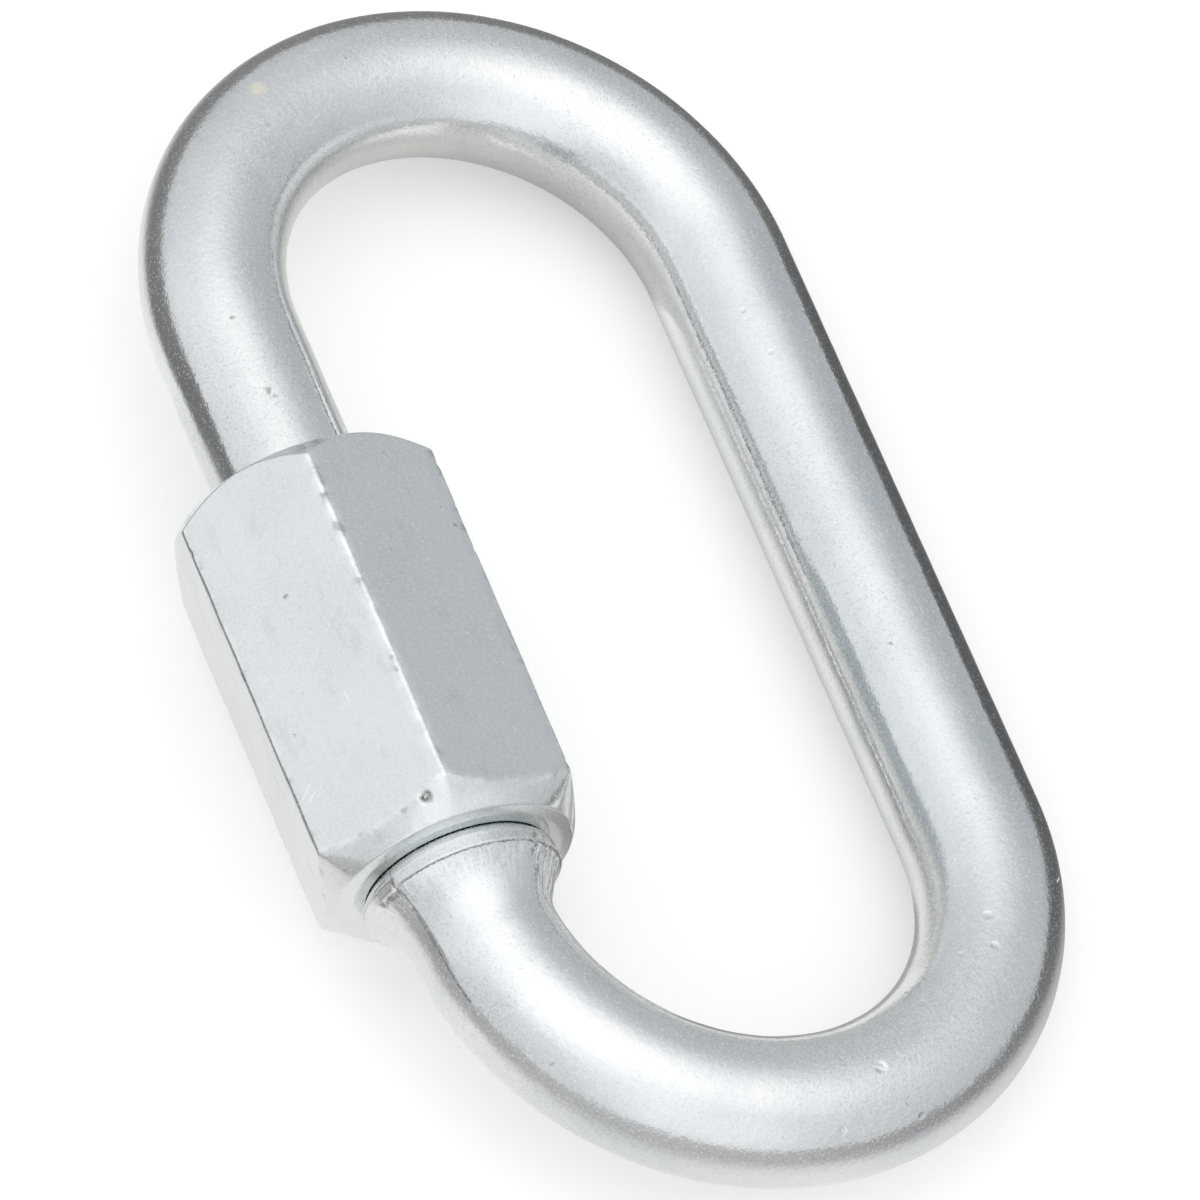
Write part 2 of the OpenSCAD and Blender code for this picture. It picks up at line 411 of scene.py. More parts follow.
# point of the nut = its axis + radius * direction of the outline's point, for each ring of the wall's section
# the radius of the bore is the thread's, that of the flats is cut by the two chamfers
def makeSleeveNut():
    d = sleeveNut
    lean = math.radians(d["turn"]) - layAngle
    cornerRadius = (nutHigh[2] - nutLow[2]) / 2 / math.cos(lean)
    flatRadius = cornerRadius * math.cos(math.pi / 6)
    outline = hexOutline(flatRadius)
    plainAngle = np.arctan2(outline[:, 1], outline[:, 0])
    angle = plainAngle + math.radians(d["turn"])
    reach = np.linalg.norm(outline, axis=1)
    toCorner = (reach - flatRadius) / (reach.max() - flatRadius)
    leaning = d["lowLean"] * np.cos(angle - math.radians(d["lowLeanFrom"]))
    lowCut = d["lowFlat"] + d["lowCorner"] * toCorner + leaning
    highCut = d["highFlat"] + d["highCorner"] * toCorner
    boreRadius = linkRod["rootRadius"] + d["threadGap"]
    threadRadius = linkRod["crestRadius"] + d["threadGap"]
    mouthDepth = (d["mouthRadius"] - boreRadius) / math.tan(math.radians(d["mouthDeg"]))
    same = np.ones_like(reach)

    # one corner of the section, the same or not all round
    def spot(x, r):
        return np.stack([x * same, r * same], -1)

    corners = [
        spot(nutEnd - mouthDepth, boreRadius),
        spot(nutEnd - d["mouthDish"], d["mouthRadius"]),
        spot(nutEnd, d["ridgeRadius"]),
        spot(nutEnd - d["ringDrop"], d["lowRing"]),
        spot(nutEnd - lowCut, reach),
        spot(nutStart + highCut, reach),
        spot(nutStart, d["highRing"]),
        spot(nutStart, d["mouthRadius"]),
        spot(nutStart + mouthDepth, boreRadius),
    ]
    outer = roundedProfile(corners, d["sectionRings"], d["edgeRound"])
    boreX = np.arange(nutStart + mouthDepth, nutEnd - mouthDepth, d["boreStep"])[1:]
    bore = np.stack([boreX[:, None] * same, np.full((len(boreX), len(same)), boreRadius)], -1)
    rings = np.concatenate([outer, bore])
    x, r = rings[..., 0], rings[..., 1]
    groove = boreRadius + (threadRadius - boreRadius) * threadHeight(threadTurns(x, angle[None]))
    inside = r < threadRadius
    r = np.where(inside, np.maximum(r, groove), r)

    # wear on the outside: long waves on the flats and nicks along the corners, both only ever inward
    outside = ease(r, d["lowRing"] + d["wearFrom"], flatRadius)
    girth = 6 * flatRadius
    flatWave = waves(x, plainAngle[None], girth, d["waveSize"], count=16, seed=5)
    nearest = np.floor(plainAngle / (math.pi / 3))
    offCorner = reach * np.sin(plainAngle - (nearest + 0.5) * math.pi / 3)
    onCorner = np.exp(-(offCorner / d["nickReach"]) ** 2)

    # noise along the corners, each of which reads its own stretch of it
    def alongCorners(stretch, size, seed):
        return waves(x + stretch * nearest[None], 0 * x, girth, size, count=9, seed=seed)

    nick = d["nickDepth"] * ease(alongCorners(40, d["nickSize"], 8), *d["nickRange"])
    nick = nick + d["burr"] * ease(alongCorners(90, d["burrSize"], 9), *d["burrRange"])
    r = r - outside * (d["wave"] * np.maximum(1 - flatWave, 0) + onCorner * nick)
    points = np.stack([x, -bowRadius + r * np.cos(angle), r * np.sin(angle)], -1)
    piece = gridMesh("sleeveNut", toFrame(points), "loop")

    # where the edges are worn: along the corners and along both edges of the chamfer at the collar
    aboveCut = nutEnd - lowCut - x
    chamferEdges = np.exp(-(aboveCut / d["cutWear"]) ** 2)
    chamferEdges = chamferEdges + np.exp(-((x - nutEnd + d["ringDrop"]) / d["ringWear"]) ** 2)
    worn = onCorner * ease(aboveCut, *d["cornerEnd"]) + chamferEdges
    setAttribute(piece, "edge", outside * np.minimum(worn, 1))
    print("sleeve nut:", len(piece.data.polygons), "faces")
    return piece


# a node's output socket; the operators add Math nodes to its tree
class Value:
    def __init__(self, graph, socket):
        self.graph = graph
        self.socket = socket

    # another output of the same node
    def also(self, output):
        return Value(self.graph, self.socket.node.outputs[output])

    def combine(self, operation, first, second):
        return self.graph.add("ShaderNodeMath", dict(operation=operation), {0: first, 1: second})

    def __add__(self, other):
        return self.combine("ADD", self, other)

    def __radd__(self, other):
        return self.combine("ADD", other, self)

    def __sub__(self, other):
        return self.combine("SUBTRACT", self, other)

    def __rsub__(self, other):
        return self.combine("SUBTRACT", other, self)

    def __mul__(self, other):
        return self.combine("MULTIPLY", self, other)

    def __rmul__(self, other):
        return self.combine("MULTIPLY", other, self)


# a node tree; add() makes any node from its type, its settings and what goes into its sockets
class Graph:
    def __init__(self, tree):
        self.tree = tree
        tree.nodes.clear()

    def add(self, kind, settings=None, inputs=None, output=0):
        node = self.tree.nodes.new(kind)
        for name, value in (settings or {}).items():
            if name == "stops":
                self.setStops(node.color_ramp, value)
            else:
                setattr(node, name, value)
        for name, value in (inputs or {}).items():
            if isinstance(value, Value):
                self.tree.links.new(value.socket, node.inputs[name])
            else:
                node.inputs[name].default_value = value
        return Value(self, node.outputs[output]) if len(node.outputs) else node

    # each stop of a ramp is its place and its colour
    def setStops(self, ramp, stops):
        while len(ramp.elements) < len(stops):
            ramp.elements.new(1.0)
        for element, (place, colour) in zip(ramp.elements, stops):
            element.position = place
            element.color = colour

    # 0 below low, 1 above high, a smooth step between
    def step(self, value, low, high):
        settings = dict(interpolation_type="SMOOTHSTEP")
        return self.add("ShaderNodeMapRange", settings, {"Value": value, "From Min": low, "From Max": high})

    # one Vector Math node: output 0 is a vector, output 1 a number
    def vector(self, operation, inputs, output=0):
        return self.add("ShaderNodeVectorMath", dict(operation=operation), inputs, output)

    # one coordinate of a vector: 0, 1 or 2
    def coordinate(self, vector, axis):
        return self.add("ShaderNodeSeparateXYZ", None, {0: vector}, axis)

    # output 0 is a number, output 1 a colour
    def noise(self, place, scale, detail=2.0, output=0):
        inputs = {"Vector": place, "Scale": scale, "Detail": detail}
        return self.add("ShaderNodeTexNoise", None, inputs, output)

    # noise that is 0 below the level low and 1 above high
    def patchy(self, place, scale, detail, low, high):
        return self.step(self.noise(place, scale, detail), low, high)

    # round spots of a given radius strewn at random, one to a cell, with three random numbers for each cell
    # core is the share of the radius that is full
    def strewn(self, place, cell, radius, core=0.35):
        off = self.add("ShaderNodeTexVoronoi", None, {"Vector": place, "Scale": 1 / cell})
        draw = self.add("ShaderNodeSeparateColor", None, {0: off.also(1)})
        return 1 - self.step(off, core * radius / cell, radius / cell), draw

    # 1 in that share of the cells
    def chosen(self, draw, share):
        return self.step(draw + share, 1.0, 1.001)

    # one round mark: 1 in its core, 0 from its radius on
    def mark(self, place, centre, radius, core=0.3):
        off = self.vector("DISTANCE", {0: place, 1: centre}, 1)
        return 1 - self.step(off, core * radius, radius)

    # one straight scratch: 1 in the core along the line from first to last, 0 from half its width on
    def scratch(self, place, first, last, width, core=0.1):
        first, run = Vector(first), Vector(last) - Vector(first)
        rest = self.vector("SUBTRACT", {0: place, 1: first})
        share = self.vector("DOT_PRODUCT", {0: rest, 1: run / run.length_squared}, 1)
        share = self.add("ShaderNodeClamp", None, {"Value": share})
        foot = self.vector("SCALE", {0: run, "Scale": share})
        off = self.vector("DISTANCE", {0: rest, 1: foot}, 1)
        return 1 - self.step(off, core * width, 0.5 * width)

    # the larger of two values
    def most(self, first, second):
        return self.add("ShaderNodeMath", dict(operation="MAXIMUM"), {0: first, 1: second})

    # first colour where the share is 0, second where it is 1
    def mixColour(self, share, first, second):
        return self.add("ShaderNodeMix", dict(data_type="RGBA"), {0: share, 6: first, 7: second}, 2)


# a material with an empty node tree, and the graph that fills it
def newMaterial(name):
    material = bpy.data.materials.new(name)
    material.use_nodes = True
    return material, Graph(material.node_tree)


# zinc plate, as far as both pieces share it
# a patchy value is its scale in a millimetre, its detail and the noise levels where it starts and is full
plating = dict(
    cloud=(0.20, 2.0, 0.38, 0.64),  # slow change of tone and gloss
    cloudTone=0.40,       # share of the dull colour in a cloud, and in a grain
    grainTone=0.30,
    cloudGloss=0.45,      # share of the gloss that follows the clouds; the grain has the rest
    worn=(0.11, 1.0, 0.42, 0.62),  # areas with more pinholes and specks
    rub=(1.0, 4.0, 0.56, 0.74),  # grey rub marks, drawn out along the link
    rubStretch=(0.35, 0.9, 0.9),
    bendFade=4.0,         # half length over which the straights turn into the bows
    farRange=(6.0, 12.0),  # the far side sets in between these places in Y
    grainScale=2.8,       # grains in a millimetre
    grainFull=(0.45, 0.70),
    fineScale=8.0,
    fineHeight=0.0034,    # millimetres
    # the bright specks of the fine noise are painted glints
    speckFull=(0.58, 0.74),  # levels of the fine noise that make dark specks, and bright ones
    paintedSparkFull=(0.24, 0.38),
    cleanSpecks=0.5,      # share of the specks and of the pinholes where the plate isn't worn
    cleanPins=0.35,
    greyMark=(0.42, 0.43, 0.43, 1),  # specks and rub marks
    stirScale=5.0,        # noise that makes the marks' edges uneven, and how far it moves them
    stirReach=0.30,
    # the pinholes' cells also hold painted glints: white matte spots
    pinCell=0.7,          # pinholes and glints
    pinShare=0.32,
    pinRadius=0.075,
    pinDark=0.7,          # strength of a pinhole, and of a glint
    paintedGlint=0.6,
    patchPins=0.5,        # share added in a patch
    pitColour=(0.28, 0.27, 0.25, 1),
    pitCover=0.65,
    pitRough=0.15,
    # scratches and painted glints are white and lose metal, so they read as glints
    scratchAndGlintColour=(0.97, 0.97, 0.96, 1),
    scratchRough=0.3,
    paintedGlintMatte=0.8,     # how much of the metal's shine is lost in glints and scratches
    dentDepth=0.09,       # share of a dent's radius
)

# bright plate on the rod; places are in millimetres in the frame
rodZinc = dict(
    plating,
    bright=(0.85, 0.855, 0.855, 1),
    dull=(0.74, 0.765, 0.78, 1),
    roughLow=0.07,
    roughHigh=0.16,
    bendRough=0.07,       # added on the bows, where bending left the surface coarser
    grainHeight=0.010,    # millimetres
    bendGrain=0.006,      # added on the bows
    # paintedSparkle and paintedGlintShare set painted glints: white matte specks
    speckle=0.30,         # dark and light specks
    paintedSparkle=0.30,
    farDull=0.5,          # duller far side
    scuff=0.06,           # strength of the grey rub marks
    paintedGlintShare=0.10,      # bright specks
    pitCell=1.7,
    pitShare=0.24,
    pitRadius=0.12,
    pits=[((-13.05, -13.26, 12.06), 0.34), ((-12.55, -13.05, 12.05), 0.16), ((-17.83, -13.47, 12.03), 0.17),
          ((-29.37, -6.99, 11.30), 0.17), ((-32.86, -1.05, 10.48), 0.15)],
    scratches=[((33.35, 3.75, 9.80), (33.70, 4.30, 9.70), 0.16),
               ((22.45, 14.50, 7.75), (22.95, 14.05, 7.86), 0.14),
               ((21.45, 13.85, 7.22), (21.80, 13.50, 7.32), 0.14),
               ((23.60, 19.15, 6.10), (23.95, 18.90, 6.45), 0.22)],
    dents=[((33.46, 4.09, 9.75), 0.45), ((29.99, 8.06, 8.76), 0.35), ((27.63, 13.30, 8.46), 0.30),
           ((25.71, 13.73, 8.24), 0.35), ((27.56, 11.40, 8.29), 0.25), ((31.12, 6.31, 9.18), 0.25),
           ((36.08, 1.04, 8.91), 0.30), ((35.96, 5.79, 8.00), 0.25), ((-13.44, 15.29, 7.81), 0.22),
           ((-10.46, 15.73, 7.93), 0.22)],
    patches=[((31.7, -8.5, 10.6), 5.5), ((-27.5, 8.5, 6.9), 5.0)],  # places with many pinholes
    fleck=((-31.96, -6.55, 10.97), 0.68),
    fleckColour=(0.80, 0.74, 0.55, 1),
    fleckCover=0.75,
    fleckRough=0.3,
    dragFrom=6.6,         # fine lines along the flare, by distance from the collared tip
    dragTo=8.6,
    dragStart=0.25,       # they set in over this length and keep their depth to the next
    dragHold=0.5,
    dragHeight=0.022,
    dragStretch=(4.0, 0.30, 1.0),
    dragFull=(0.5, 0.65),
    dragCover=0.35,
    dragColour=(0.97, 0.97, 0.97, 1),
    # dirt and painted shade in the die's seams and in the step under the collar: (around, along) of both
    # ends, and width
    dirtAndShade=[((0.60, 6.66, 0), (1.74, 6.80, 0), 0.40), ((1.74, 6.80, 0), (1.62, 9.6, 0), 0.46),
          ((1.62, 9.6, 0), (1.40, 12.4, 0), 0.26), ((2.10, 6.61, 0), (11.5, 6.60, 0), 0.09),
          ((8.75, 7.5, 0), (9.55, 10.6, 0), 0.12), ((1.85, 5.6, 0), (1.80, 6.75, 0), 0.12),
          ((9.10, 146.5, 0), (8.30, 139.8, 0), 0.16), ((8.30, 139.8, 0), (8.90, 133.5, 0), 0.12)],
    dirtStir=(0.10, 0.10, 0.0),
    dirtFull=(0.36, 0.54),
    # the dark strokes here are dirt and painted shade
    dirtThin=0.35,        # share of the dirt that is left where the grain breaks it up
    dirtAndShadeColour=(0.15, 0.145, 0.14, 1),
    dirtAndShadeCover=0.8,
    dirtMatte=0.5,
    sawnSide=(-2.0, 0.0),  # the stubs lie below these places in Y
    sawnFade=0.06,        # length past a tip over which the sawn end stops
    sawnRough=0.26,       # added on the sawn ends of the stubs
    sawnColour=(0.55, 0.56, 0.56, 1),
    sawnCover=0.45,
)

# the nut's plate is duller and cooler
nutZinc = dict(
    plating,
    bright=(0.84, 0.858, 0.855, 1),
    dull=(0.775, 0.80, 0.80, 1),
    roughLow=0.12,
    roughHigh=0.26,
    bendRough=0.0,
    grainHeight=0.009,
    bendGrain=0.0,
    # paintedSparkle and paintedGlintShare set painted glints: white matte specks
    speckle=0.16,
    paintedSparkle=0.20,
    farDull=0.0,
    scuff=0.17,
    paintedGlintShare=0.22,
    pitCell=2.2,
    pitShare=0.20,
    pitRadius=0.11,
    pits=[((7.33, -19.38, 11.87), 0.16), ((0.10, -17.43, 13.48), 0.15), ((-1.70, -7.18, 13.56), 0.15)],
    scratches=[((10.26, -19.67, 11.64), (10.96, -20.30, 11.11), 0.15),
               ((6.71, -16.74, 14.06), (7.31, -16.69, 14.09), 0.14),
               ((10.75, -19.55, 11.72), (11.10, -19.90, 11.42), 0.12)],
    dents=[],
    patches=[],
    bead=((14.50, -15.34, 15.21), 0.50),  # where it lies, and the radius of its hollow
    beadShare=0.6,        # the bead's radius as a share of the hollow's
    beadHeight=0.28,      # millimetres, as the depth of the hollow is
    hollowDepth=0.16,
    hollowColour=(0.25, 0.24, 0.22, 1),
    burrHeight=0.05,      # lumps along the nut's edges
    burrScale=1.1,
    # painted highlight on the lumps' tops and painted shade at their feet
    paintedBurrHighlight=0.85,            # strength of the bright and the dark places on them
    paintedHighlightFull=(0.50, 0.64),
    paintedHighlightColour=(0.97, 0.97, 0.97, 1),
    paintedBurrShade=0.55,
    paintedShadeFull=(0.32, 0.44),
    paintedShadeColour=(0.30, 0.29, 0.28, 1),
)


# dark marks, the most of: pinholes, crowded on worn plate and in the patches, strewn pits, listed pits
def darkMarks(g, d, s):
    crowd = d["pinShare"] * (d["cleanPins"] + (1 - d["cleanPins"]) * s.worn)
    for centre, radius in d["patches"]:
        crowd = crowd + d["patchPins"] * g.mark(s.place, centre, radius)
    pit, pitDraw = g.strewn(s.ragged, d["pitCell"], d["pitRadius"])
    pinholes = s.pin * g.chosen(s.pinDraw, crowd) * d["pinDark"]
    dark = g.most(pit * g.chosen(pitDraw, d["pitShare"]), pinholes)
    for centre, radius in d["pits"]:
        dark = g.most(dark, g.mark(s.ragged, centre, radius))
    return dark


# painted glints, the most of: white matte spots in some of the pinholes' cells, a fine painted sparkle, and
# the listed scratches drawn as glints
def paintedGlints(g, d, s):
    bright = s.pin * g.chosen(s.pinDraw.also(1), d["paintedGlintShare"]) * d["paintedGlint"]
    bright = g.most(bright, (1 - g.step(s.fine, *d["paintedSparkFull"])) * d["paintedSparkle"])
    for first, last, width in d["scratches"]:
        bright = g.most(bright, g.scratch(s.place, first, last, width))
    return bright


# fleck of dull film: its round mark covers the metal and makes it matte
def addFleck(g, d, s):
    film = g.mark(s.ragged, *d["fleck"]) * d["fleckCover"]
    s.colour = g.mixColour(film, s.colour, d["fleckColour"])
    s.rough = s.rough + d["fleckRough"] * film
    s.metal = s.metal - film


# bead in a hollow: the height falls by the hollow's mark and rises by the bead's, the ring between is dark
def addBead(g, d, s):
    centre, radius = d["bead"]
    hollow = g.mark(s.place, centre, radius)
    bead = g.mark(s.place, centre, d["beadShare"] * radius)
    s.height = s.height - d["hollowDepth"] * hollow + d["beadHeight"] * bead
    s.colour = g.mixColour(hollow - bead, s.colour, d["hollowColour"])


# worn edges: lumps of noise * the edge attribute, with a painted highlight on their tops and painted shade at
# their feet
def addWornEdges(g, d, s):
    edge = g.add("ShaderNodeAttribute", dict(attribute_name="edge"), output=2)
    lump = g.noise(s.place, d["burrScale"])
    s.height = s.height + d["burrHeight"] * edge * lump
    paintedBurrHighlight = edge * g.step(lump, *d["paintedHighlightFull"])
    paintedBurrShade = edge * (1 - g.step(lump, *d["paintedShadeFull"]))
    s.colour = g.mixColour(paintedBurrHighlight * d["paintedBurrHighlight"], s.colour, d["paintedHighlightColour"])
    s.colour = g.mixColour(paintedBurrShade * d["paintedBurrShade"], s.colour, d["paintedShadeColour"])


# marks of forming: drag lines are noise drawn out along the rod, dirt and painted shade is the most of all
# its strokes
# both read the map of (around, along)
def addFormingMarks(g, d, s):
    wrap = g.add("ShaderNodeUVMap", dict(uv_map="wrap"))
    along = g.coordinate(wrap, 1)
    lines = g.noise(g.vector("MULTIPLY", {0: wrap, 1: d["dragStretch"]}), 1.0, 1.0)
    begun = g.step(along, d["dragFrom"], d["dragFrom"] + d["dragStart"])
    show = begun * (1 - g.step(along, d["dragFrom"] + d["dragHold"], d["dragTo"]))
    s.height = s.height + d["dragHeight"] * show * lines
    s.colour = g.mixColour(show * g.step(lines, *d["dragFull"]) * d["dragCover"], s.colour, d["dragColour"])
    uneven = g.vector("MULTIPLY_ADD", {0: s.stir, 1: d["dirtStir"], 2: wrap})
    # strokes of dirt and painted shade
    dirtAndShade = 0.0
    for first, last, width in d["dirtAndShade"]:
        dirtAndShade = g.most(dirtAndShade, g.scratch(uneven, first, last, width))
    dirtAndShade = dirtAndShade * (d["dirtThin"] + (1 - d["dirtThin"]) * g.step(s.grain, *d["dirtFull"]))
    s.colour = g.mixColour(dirtAndShade * d["dirtAndShadeCover"], s.colour, d["dirtAndShadeColour"])
    s.metal = s.metal - d["dirtMatte"] * dirtAndShade


# sawn ends of the stubs: matte on the nut's side, where X is no further from the gate's middle than the tips
def addSawnEnds(g, d, s):
    halfGap = (farTip - nearTip) / 2
    offset = g.vector("SUBTRACT", {0: s.place, 1: ((nearTip + farTip) / 2, 0, 0)})
    offset = g.coordinate(g.vector("ABSOLUTE", {0: offset}), 0)
    nutSide = 1 - g.step(g.coordinate(s.place, 1), *d["sawnSide"])
    sawn = nutSide * (1 - g.step(offset, halfGap, halfGap + d["sawnFade"]))
    s.rough = s.rough + d["sawnRough"] * sawn
    s.colour = g.mixColour(sawn * d["sawnCover"], s.colour, d["sawnColour"])


# metal whose tone and gloss follow a slow cloud and a fine grain, coarser on the bows, duller on the far side
# dark marks, painted glints and dents lie over it, and extras add what only one of the pieces has
def zincPlate(name, d, extras):
    material, g = newMaterial(name)
    place = g.add("ShaderNodeTexCoord", output=3)  # the piece's own coordinates
    s = SimpleNamespace(place=g.vector("SCALE", {0: place, "Scale": 1 / mm}))
    s.stir = g.vector("SUBTRACT", {0: g.noise(s.place, d["stirScale"], 0.0, 1), 1: (0.5, 0.5, 0.5)})
    s.ragged = g.vector("MULTIPLY_ADD", {0: s.stir, 1: [d["stirReach"]] * 3, 2: s.place})
    s.worn = g.patchy(s.place, *d["worn"])
    s.grain = g.noise(s.place, d["grainScale"])
    s.fine = g.noise(s.place, d["fineScale"], 0.0)
    s.pin, s.pinDraw = g.strewn(s.ragged, d["pinCell"], d["pinRadius"])
    cloud = g.patchy(s.place, *d["cloud"])
    fromMiddle = g.coordinate(g.vector("ABSOLUTE", {0: s.place}), 0)
    bend = g.step(fromMiddle, halfStraight - d["bendFade"], halfStraight + d["bendFade"])
    far = g.step(g.coordinate(s.place, 1), *d["farRange"]) * (1 - bend)
    rubbed = g.patchy(g.vector("MULTIPLY", {0: s.ragged, 1: d["rubStretch"]}), *d["rub"])
    dark = darkMarks(g, d, s)
    bright = paintedGlints(g, d, s)

    tone = cloud * d["cloudTone"] + g.step(s.grain, *d["grainFull"]) * d["grainTone"] + d["farDull"] * far
    speck = g.step(s.fine, *d["speckFull"]) * d["speckle"]
    speck = speck * (d["cleanSpecks"] + (1 - d["cleanSpecks"]) * s.worn)
    s.colour = g.mixColour(tone, d["bright"], d["dull"])
    s.colour = g.mixColour(speck, s.colour, d["greyMark"])
    s.colour = g.mixColour(rubbed * d["scuff"], s.colour, d["greyMark"])
    s.colour = g.mixColour(dark * d["pitCover"], s.colour, d["pitColour"])
    # painted glints: white matte spots and scratches that stand in for glints
    s.colour = g.mixColour(bright, s.colour, d["scratchAndGlintColour"])
    gloss = d["cloudGloss"] * cloud + (1 - d["cloudGloss"]) * s.grain
    s.rough = d["roughLow"] + (d["roughHigh"] - d["roughLow"]) * gloss + d["bendRough"] * bend
    s.rough = s.rough + d["pitRough"] * dark + d["scratchRough"] * bright
    s.metal = 1 - d["paintedGlintMatte"] * bright
    s.height = (d["grainHeight"] + d["bendGrain"] * bend) * s.grain + d["fineHeight"] * s.fine
    for centre, radius in d["dents"]:
        s.height = s.height - d["dentDepth"] * radius * g.mark(s.place, centre, radius)
    for extra in extras:
        extra(g, d, s)

    bump = g.add("ShaderNodeBump", None, {"Strength": 1.0, "Distance": mm, "Height": s.height})
    inputs = {"Base Color": s.colour, "Metallic": s.metal, "Roughness": s.rough, "Normal": bump}
    shader = g.add("ShaderNodeBsdfPrincipled", None, inputs)
    g.add("ShaderNodeOutputMaterial", None, {"Surface": shader})
    print("finish:", name, len(material.node_tree.nodes), "nodes")
    return material


# pale floor: lit as any surface, with a little glow so that it reads as white where no shadow falls
floorSheet = dict(
    size=3.0,             # metres
    colour=(0.92, 0.915, 0.905, 1),
    glow=0.26,
)


# one square face about the origin, whose glow shows to the camera and in reflections and lights nothing
def makeFloor():
    d = floorSheet
    half = d["size"] / 2
    edge = [(-half, -half, 0), (half, -half, 0), (half, half, 0), (-half, half, 0)]
    mesh = bpy.data.meshes.new("floorSheet")
    mesh.from_pydata(edge, [], [[0, 1, 2, 3]])
    floor = putInScene("floorSheet", mesh)
    material, g = newMaterial("floorWhite")
    material.cycles.emission_sampling = "NONE"
    camera = g.add("ShaderNodeLightPath")
    seen = camera + camera.also("Is Glossy Ray") + camera.also("Is Transmission Ray")
    matte = g.add("ShaderNodeBsdfDiffuse", None, {"Color": d["colour"]})
    glow = g.add("ShaderNodeEmission", None, {"Color": seen, "Strength": d["glow"]})
    both = g.add("ShaderNodeAddShader", None, {0: matte, 1: glow})
    g.add("ShaderNodeOutputMaterial", None, {"Surface": both})
    mesh.materials.append(material)
    print("floor: laid")


# studio: a soft light overhead falls away to a darker horizon, and the front is lighter than the back
# each stop is the sine of the elevation, the light level there and how blue it is
studio = dict(
    stops=[(-1.0, 0.45, 0.0), (0.0, 0.66, 0.5), (0.12, 0.71, 1.0), (0.34, 0.75, 1.0), (0.64, 0.83, 1.0),
           (0.82, 1.02, 0.7), (0.94, 1.22, 0.2), (1.0, 1.30, 0.0)],
    blue=(0.965, 1.0, 1.03),
    frontFrom=(0.5, -0.866, 0.0),
    frontLight=0.16,
    # soft boxes and flags: compass angle from +X, elevation, spread, level
    boxes=[(-16, 20, 40, 0.14), (-70, 16, 38, -0.14), (-120, 22, 42, 0.05), (122, 36, 34, -0.06)],
)


# light level at a direction = ramp over its height + front light * cosine of its angle to the front
# + the level of each box, fading smoothly to nothing at its spread
def makeStudio():
    d = studio
    world = bpy.data.worlds.new("studio")
    world.use_nodes = True
    world.cycles.sampling_method = "NONE"  # light this even is found quicker without
    bpy.context.scene.world = world
    g = Graph(world.node_tree)
    look = g.add("ShaderNodeTexCoord", output=0)  # the direction, as a unit vector
    height = g.coordinate(look, 2)
    top = max(level for place, level, blue in d["stops"])
    stops = []
    for place, level, blue in d["stops"]:
        tint = [level / top * (1 + blue * (part - 1)) / max(d["blue"]) for part in d["blue"]]
        stops.append(((place + 1) / 2, (*tint, 1)))
    sky = g.add("ShaderNodeValToRGB", dict(stops=stops), {"Fac": height * 0.5 + 0.5})
    front = g.vector("DOT_PRODUCT", {0: look, 1: d["frontFrom"]}, 1) * (d["frontLight"] / top)
    for turn, rise, spread, level in d["boxes"]:
        turn, rise, spread = math.radians(turn), math.radians(rise), math.radians(spread)
        aim = (math.cos(turn) * math.cos(rise), math.sin(turn) * math.cos(rise), math.sin(rise))
        near = g.vector("DOT_PRODUCT", {0: look, 1: aim}, 1)
        front = front + g.step(near, math.cos(spread), 1.0) * (level / top)
    light = g.vector("ADD", {0: sky, 1: front})
    back = g.add("ShaderNodeBackground", None, {"Color": light, "Strength": top * max(d["blue"])})
    g.add("ShaderNodeOutputWorld", None, {"Surface": back})
    print("studio: world made")


# glowing card under the link, seen only in its reflections: a painted reflection that draws the dark band
# along the plated edges and painted shade of the floor inside the loop
# each side is its angle round the oval from +X, the levels inside the loop, beside the rod and in the band,
# how far outside the rod the band starts and how soft its edge is
# distances are from the rod's outer edge, and those inside it are negative
paintedReflectionCard = dict(
    sides=[(0, 0.42, 0.86, 0.50, 11, 14), (45, 0.41, 0.72, 0.30, 11, 16), (80, 0.41, 0.36, 0.16, 5, 7),
           (88, 1.00, 0.26, 0.125, 4, 5), (92, 1.04, 0.26, 0.125, 4, 5), (98, 0.70, 0.28, 0.14, 4, 6),
           (135, 0.55, 0.34, 0.20, 5, 12), (180, 0.72, 0.46, 0.24, 6, 14), (225, 0.76, 0.88, 0.22, 9, 10),
           (262, 0.76, 0.97, 0.205, 9, 4), (270, 0.76, 0.84, 0.32, 10, 7), (272, 0.75, 0.88, 0.47, 15, 12),
           (282, 0.74, 0.90, 0.46, 16, 12), (315, 0.46, 0.82, 0.54, 10, 20)],
    far=0.12,             # added to the band far away, from the first of these distances to the second
    farRange=(30, 200),
    # middle, endFall and underRod paint shade of the floor inside the loop and under the rod into the
    # reflections
    middle=0.66,          # level in the middle of the loop, and where it gives way to that beside the rod
    middleRange=(-17, -10),
    endFall=0.36,         # the middle is this much darker at the +X end, between these places in X
    endRange=(-14, 8),
    underRod=(-12, -4),   # the levels inside and outside change over between these distances
    warm=(0.99, 1.0, 0.965),  # tint inside the loop
    cool=(0.99, 1.0, 0.995),  # tint outside it
    lift=0.2,             # above the floor
    points=192,
    ringStep=0.8,         # spacing of the rings out to fineReach, then fewer out to reach
    fineReach=48.0,
    coarseFrom=50.0,
    coarseRings=12,
    reach=420.0,
)


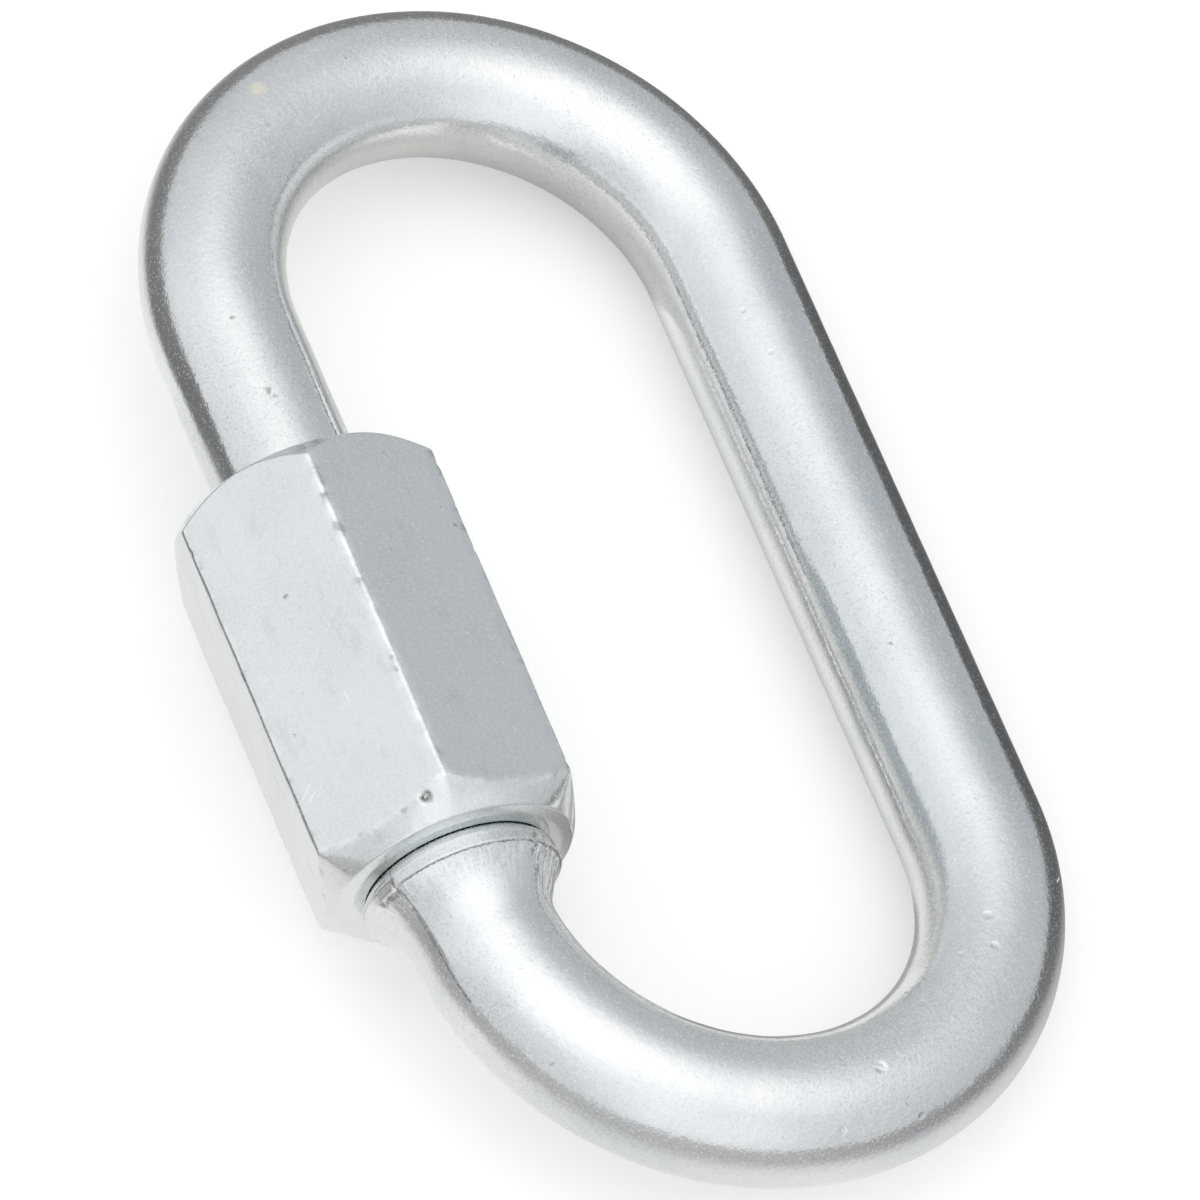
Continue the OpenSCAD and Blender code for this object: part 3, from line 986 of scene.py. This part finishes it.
# rings round the middle line of the oval, each a circle whose halves stand apart by the straights
# outside the rod the level steps smoothly from beside it to the band, inside it eases to the middle's
def makePaintedReflectionCard():
    d = paintedReflectionCard
    rodEdge = bowRadius + linkRod["rodRadius"]
    fineRings = np.arange(d["ringStep"], d["fineReach"], d["ringStep"])
    coarseRings = np.geomspace(d["coarseFrom"], d["reach"], d["coarseRings"])
    away = np.concatenate([fineRings, coarseRings])[:, None] - rodEdge
    turn = np.linspace(0, 2 * np.pi, d["points"], endpoint=False)[None]
    side = np.array(d["sides"])
    levels = [np.interp(np.degrees(turn), side[:, 0], part, period=360) for part in side.T[1:]]
    inside, beside, band, start, soft = levels
    outer = beside + (band - beside) * ease(away, start - soft / 2, start + soft / 2)
    outer = outer + d["far"] * ease(away, *d["farRange"])
    x = np.cos(turn) * (away + rodEdge) + np.sign(np.round(np.cos(turn), 6)) * halfStraight
    y = np.sin(turn) * (away + rodEdge) + middle[1]
    centre = d["middle"] - d["endFall"] * ease(x, *d["endRange"])
    inner = centre + (inside - centre) * ease(away, *d["middleRange"])
    share = ease(away, *d["underRod"]) * np.ones_like(turn)
    level = inner + (outer - inner) * share
    points = np.stack([x, y, np.full_like(x, d["lift"])], -1)
    tint = np.array(d["warm"]) + (np.array(d["cool"]) - np.array(d["warm"])) * share[..., None]
    tone = np.concatenate([level[..., None] * tint, np.ones_like(level)[..., None]], -1)
    index = np.arange(level.size).reshape(level.shape)
    low, high = index[:-1], index[1:]
    quads = np.stack([low, high, np.roll(high, -1, 1), np.roll(low, -1, 1)], -1).reshape(-1, 4)
    mesh = bpy.data.meshes.new("paintedReflectionCard")
    mesh.from_pydata((points.reshape(-1, 3) * mm).tolist(), [], quads.tolist())
    # tone holds the painted reflection's levels
    shade = mesh.color_attributes.new("tone", "FLOAT_COLOR", "POINT")
    shade.data.foreach_set("color", tone.astype(np.float32).ravel())
    card = putInScene("paintedReflectionCard", mesh)
    card.visible_camera = False
    card.visible_diffuse = False
    card.visible_shadow = False
    card.visible_transmission = False
    # the card glows with its painted reflection levels and lights nothing
    material, g = newMaterial("paintedReflectionGlow")
    material.cycles.emission_sampling = "NONE"
    shown = g.add("ShaderNodeAttribute", dict(attribute_name="tone"))
    glow = g.add("ShaderNodeEmission", None, {"Color": shown, "Strength": 1.0})
    g.add("ShaderNodeOutputMaterial", None, {"Surface": glow})
    mesh.materials.append(material)
    print("grey card:", len(quads), "faces")


# angles are in degrees, lens and sensor in millimetres too
viewFrom = dict(
    azimuth=53.6,
    elevation=56.55,
    roll=-17.81,
    distance=723.4,
    aim=(0.59, 1.76, 5.70),
    lens=406.5,
    sensor=36.0,
)


# camera on a sphere round the aim point, leaning by roll about its own view line
def makeCamera():
    d = viewFrom
    turn, rise = math.radians(d["azimuth"]), math.radians(d["elevation"])
    back = Vector((math.sin(turn) * math.cos(rise), -math.cos(turn) * math.cos(rise), math.sin(rise)))
    data = bpy.data.cameras.new("camera")
    data.lens = d["lens"]
    data.sensor_width = d["sensor"]
    camera = putInScene("camera", data)
    level = (-back).to_track_quat("-Z", "Y").to_matrix().to_4x4()
    lean = Matrix.Rotation(math.radians(-d["roll"]), 4, "Z")
    place = Matrix.Translation((Vector(d["aim"]) + back * d["distance"]) * mm)
    camera.matrix_world = place @ level @ lean
    bpy.context.scene.camera = camera
    print("camera:", tuple(round(v, 4) for v in camera.location))


bpy.context.scene.view_settings.view_transform = "Standard"
makeCamera()
makeStudio()
makeFloor()
makePaintedReflectionCard()

rodPiece = makeLinkRod()
rodPiece.data.materials.append(zincPlate("zincRod", rodZinc, [addFleck, addFormingMarks, addSawnEnds]))
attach(rodPiece, "link")
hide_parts("link_body")

nutPiece = makeSleeveNut()
nutPiece.data.materials.append(zincPlate("zincNut", nutZinc, [addBead, addWornEdges]))
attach(nutPiece, "nut")
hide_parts("sleeve_nut")
print("pieces: finished and placed")
